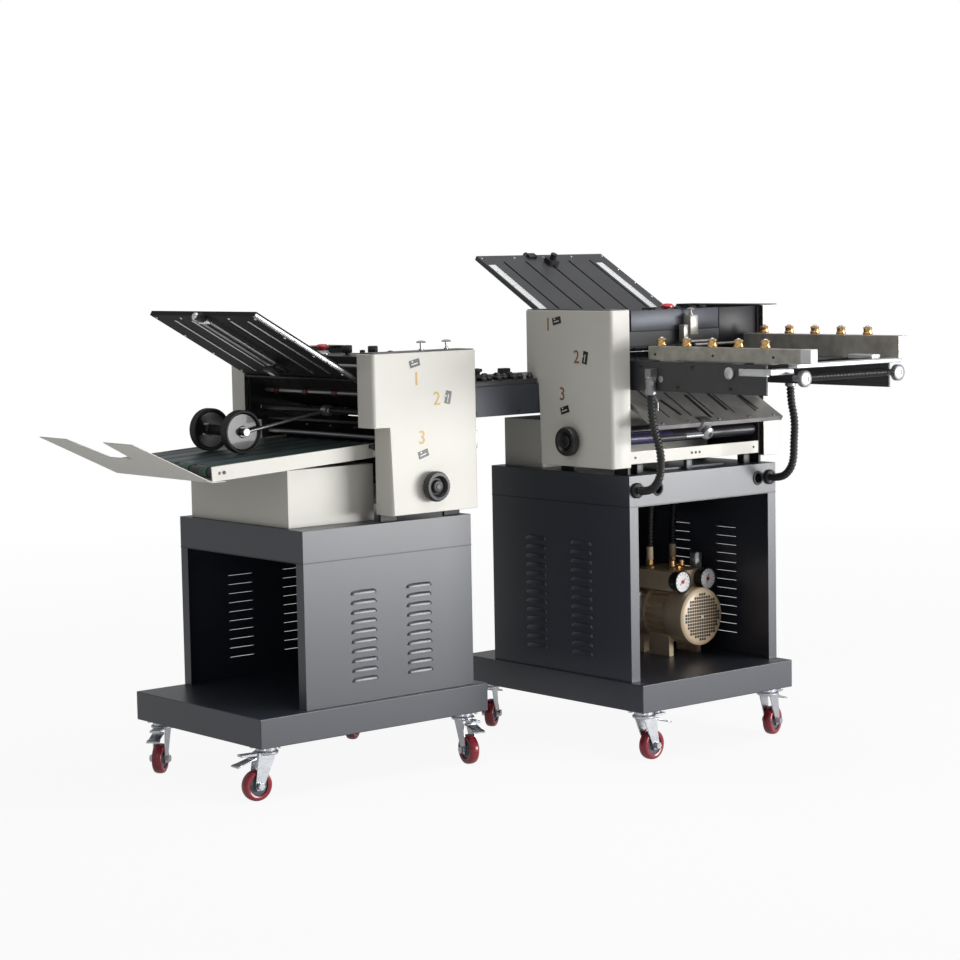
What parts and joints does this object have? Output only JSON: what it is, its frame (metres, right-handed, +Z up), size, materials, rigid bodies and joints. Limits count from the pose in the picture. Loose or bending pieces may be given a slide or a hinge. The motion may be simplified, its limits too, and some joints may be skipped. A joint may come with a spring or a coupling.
{
  "type": "paper folding machine",
  "caption": "Two-station cross folder on castered carts: suction feed, buckle fold plates, transfer table, belt delivery with stacker wheels.",
  "frame": {"origin": "on the floor, under the middle of the whole machine's box", "axes": "+X right along the delivery unit's cart (paper leaves it along -X), +Y along the feed unit's paper path, +Z up"},
  "size_m": [1.8006, 1.406, 1.2873],
  "materials": {
    "cream_paint": "satin powder coat",
    "grey_paint": "satin powder coat",
    "black_paint": "matt black",
    "zinc": "bright zinc",
    "red_tread": "polyurethane",
    "steel": "ground",
    "roller_rubber": "dark fold roller",
    "black_plastic": "moulded",
    "stop_red": "gloss",
    "brass": "turned",
    "belt_green": "smooth belt",
    "pump_tan": "cast, painted",
    "guide_steel": "oiled steel",
    "aluminium": "mill finish",
    "hose_black": "corrugated",
    "gauge_black": "gauge case"
  },
  "bodies": {
    "machine": {"a_fold_plate": "black_paint", "b_fold_plate": "black_paint", "b_lower_plate": "black_paint", "ball_holders": "brass", "cabinet_caps": "grey_paint", "cabinet_panels": "grey_paint", "cart_bases": "grey_paint", "caster_plates": "zinc", "cross_bars": "cream_paint", "delivery_belts": "belt_green", "delivery_table": "cream_paint", "delivery_tray": "cream_paint", "drive_boxes": "cream_paint", "feed_guides": "guide_steel", "feed_hose_far": "hose_black", "feed_hose_near": "hose_black", "feed_table": "guide_steel", "hose_fittings": "steel", "pump_gauges": "gauge_black", "pump_head": "pump_tan", "pump_hoses": "hose_black", "pump_motor": "pump_tan", "side_covers": "cream_paint", "side_frames": "black_paint", "top_decks": "black_paint", "transfer_table": "black_paint"},
    "caster_1": {"caster_fork_1": "zinc"},
    "wheel_1": {"caster_wheel_1": "red_tread"},
    "caster_2": {"caster_fork_2": "zinc"},
    "wheel_2": {"caster_wheel_2": "red_tread"},
    "caster_3": {"caster_fork_3": "zinc"},
    "wheel_3": {"caster_wheel_3": "red_tread"},
    "caster_4": {"caster_fork_4": "zinc"},
    "wheel_4": {"caster_wheel_4": "red_tread"},
    "caster_5": {"caster_fork_5": "zinc"},
    "wheel_5": {"caster_wheel_5": "red_tread"},
    "caster_6": {"caster_fork_6": "zinc"},
    "wheel_6": {"caster_wheel_6": "red_tread"},
    "caster_7": {"caster_fork_7": "zinc"},
    "wheel_7": {"caster_wheel_7": "red_tread"},
    "caster_8": {"caster_fork_8": "zinc"},
    "wheel_8": {"caster_wheel_8": "red_tread"},
    "a_drive": {"a_drive_shaft": "steel", "a_handwheel": "black_plastic"},
    "a_upper": {"a_roller_upper": "roller_rubber"},
    "a_lower": {"a_roller_lower": "roller_rubber"},
    "a_stop": {"a_plate_stop": "steel"},
    "a_button": {"a_stop_button": "stop_red"},
    "b_drive": {"b_drive_shaft": "steel", "b_handwheel": "black_plastic"},
    "b_upper": {"b_roller_upper": "roller_rubber"},
    "b_lower": {"b_roller_lower": "roller_rubber"},
    "b_stop": {"b_plate_stop": "steel"},
    "b_button": {"b_stop_button": "stop_red"},
    "b_low_stop": {"b_lower_stop": "steel"},
    "belt_drive": {"belt_drive_roller": "steel"},
    "belt_tail": {"belt_tail_roller": "steel"},
    "arm": {"stacker_arm": "steel"},
    "stackers": {"stacker_wheels": "black_plastic"},
    "suction": {"suction_wheel": "aluminium"}
  },
  "joints": [
    {"name": "caster_1_swivel", "type": "hinge", "parent": "machine", "child": "caster_1", "pos_m": [-0.57025, 0.168, 0.12], "axis": [0, 0, 1], "continuous": true},
    {"name": "wheel_1_roll", "type": "hinge", "parent": "caster_1", "child": "wheel_1", "pos_m": [-0.59814, 0.17044, 0.038], "axis": [-0.0872, -0.9962, 0], "continuous": true},
    {"name": "caster_2_swivel", "type": "hinge", "parent": "machine", "child": "caster_2", "pos_m": [0.03775, 0.168, 0.12], "axis": [0, 0, 1], "continuous": true},
    {"name": "wheel_2_roll", "type": "hinge", "parent": "caster_2", "child": "wheel_2", "pos_m": [0.03241, 0.14051, 0.038], "axis": [0.9816, -0.1908, 0], "continuous": true},
    {"name": "caster_3_swivel", "type": "hinge", "parent": "machine", "child": "caster_3", "pos_m": [-0.57025, 0.621, 0.12], "axis": [0, 0, 1], "continuous": true},
    {"name": "wheel_3_roll", "type": "hinge", "parent": "caster_3", "child": "wheel_3", "pos_m": [-0.59169, 0.603, 0.038], "axis": [0.6428, -0.766, 0], "continuous": true},
    {"name": "caster_4_swivel", "type": "hinge", "parent": "machine", "child": "caster_4", "pos_m": [0.03775, 0.621, 0.12], "axis": [0, 0, 1], "continuous": true},
    {"name": "wheel_4_roll", "type": "hinge", "parent": "caster_4", "child": "wheel_4", "pos_m": [0.01482, 0.60494, 0.038], "axis": [0.5736, -0.8192, 0], "continuous": true},
    {"name": "caster_5_swivel", "type": "hinge", "parent": "machine", "child": "caster_5", "pos_m": [0.37076, -0.148, 0.12], "axis": [0, 0, 1], "continuous": true},
    {"name": "wheel_5_roll", "type": "hinge", "parent": "caster_5", "child": "wheel_5", "pos_m": [0.39865, -0.14556, 0.038], "axis": [-0.0872, 0.9962, 0], "continuous": true},
    {"name": "caster_6_swivel", "type": "hinge", "parent": "machine", "child": "caster_6", "pos_m": [0.82376, -0.148, 0.12], "axis": [0, 0, 1], "continuous": true},
    {"name": "wheel_6_roll", "type": "hinge", "parent": "caster_6", "child": "wheel_6", "pos_m": [0.85038, -0.13935, 0.038], "axis": [-0.309, 0.9511, 0], "continuous": true},
    {"name": "caster_7_swivel", "type": "hinge", "parent": "machine", "child": "caster_7", "pos_m": [0.37076, 0.46, 0.12], "axis": [0, 0, 1], "continuous": true},
    {"name": "wheel_7_roll", "type": "hinge", "parent": "caster_7", "child": "wheel_7", "pos_m": [0.39369, 0.47606, 0.038], "axis": [-0.5736, 0.8192, 0], "continuous": true},
    {"name": "caster_8_swivel", "type": "hinge", "parent": "machine", "child": "caster_8", "pos_m": [0.82376, 0.46, 0.12], "axis": [0, 0, 1], "continuous": true},
    {"name": "wheel_8_roll", "type": "hinge", "parent": "caster_8", "child": "wheel_8", "pos_m": [0.8452, 0.478, 0.038], "axis": [-0.6428, 0.766, 0], "continuous": true},
    {"name": "a_handwheel_turn", "type": "hinge", "parent": "machine", "child": "a_drive", "pos_m": [-0.10425, 0.4, 0.72], "axis": [0, -1, 0], "continuous": true},
    {"name": "a_lower_roller_turn", "type": "hinge", "parent": "machine", "child": "a_lower", "pos_m": [-0.08324, 0.4, 0.9187], "axis": [0, -1, 0], "continuous": true},
    {"name": "a_upper_roller_turn", "type": "hinge", "parent": "machine", "child": "a_upper", "pos_m": [-0.08324, 0.4, 0.9593], "axis": [0, -1, 0], "continuous": true},
    {"name": "a_plate_stop_slide", "type": "slide", "parent": "machine", "child": "a_stop", "axis": [-0.8704, 0, 0.4924], "range_m": [-0.1, 0.2]},
    {"name": "a_stop_button_press", "type": "slide", "parent": "machine", "child": "a_button", "axis": [0, 0, -1], "range_m": [0, 0.004], "stiffness_N_per_m": 600, "springref_m": -0.001},
    {"name": "b_handwheel_turn", "type": "hinge", "parent": "machine", "child": "b_drive", "pos_m": [0.59725, 0.021, 0.8096], "axis": [-1, 0, 0], "continuous": true},
    {"name": "b_lower_roller_turn", "type": "hinge", "parent": "machine", "child": "b_lower", "pos_m": [0.59725, 0, 1.0083], "axis": [-1, 0, 0], "continuous": true},
    {"name": "b_upper_roller_turn", "type": "hinge", "parent": "machine", "child": "b_upper", "pos_m": [0.59725, 0, 1.0489], "axis": [-1, 0, 0], "continuous": true},
    {"name": "b_plate_stop_slide", "type": "slide", "parent": "machine", "child": "b_stop", "axis": [0, 0.8704, 0.4924], "range_m": [-0.295, 0.008]},
    {"name": "b_stop_button_press", "type": "slide", "parent": "machine", "child": "b_button", "axis": [0, 0, -1], "range_m": [0, 0.004], "stiffness_N_per_m": 600, "springref_m": -0.001},
    {"name": "b_lower_stop_slide", "type": "slide", "parent": "machine", "child": "b_low_stop", "axis": [0, 0.8704, 0.4924], "range_m": [-0.025, 0.1]},
    {"name": "belt_drive_turn", "type": "hinge", "parent": "machine", "child": "belt_drive", "pos_m": [-0.18905, 0.4, 0.8119], "axis": [0, -1, 0], "continuous": true},
    {"name": "belt_tail_turn", "type": "hinge", "parent": "machine", "child": "belt_tail", "pos_m": [-0.66436, 0.4, 0.78616], "axis": [0, -1, 0], "continuous": true},
    {"name": "stacker_arm_lift", "type": "hinge", "parent": "machine", "child": "arm", "pos_m": [-0.23125, 0.4, 0.904], "axis": [0, 1, 0], "range_deg": [0, 25]},
    {"name": "stacker_wheels_roll", "type": "hinge", "parent": "arm", "child": "stackers", "pos_m": [-0.47824, 0.44, 0.8644], "axis": [0, -1, 0], "continuous": true},
    {"name": "suction_wheel_turn", "type": "hinge", "parent": "machine", "child": "suction", "pos_m": [0.59725, -0.218, 0.9691], "axis": [-1, 0, 0], "continuous": true}
  ],
  "couplings": [
    {"joint": "a_lower_roller_turn", "follows": "a_handwheel_turn", "ratio": 1.5},
    {"joint": "a_upper_roller_turn", "follows": "a_handwheel_turn", "ratio": -1.5},
    {"joint": "b_lower_roller_turn", "follows": "b_handwheel_turn", "ratio": 1.5},
    {"joint": "b_upper_roller_turn", "follows": "b_handwheel_turn", "ratio": -1.5},
    {"joint": "belt_drive_turn", "follows": "a_handwheel_turn", "ratio": 2},
    {"joint": "belt_tail_turn", "follows": "a_handwheel_turn", "ratio": 2}
  ]
}
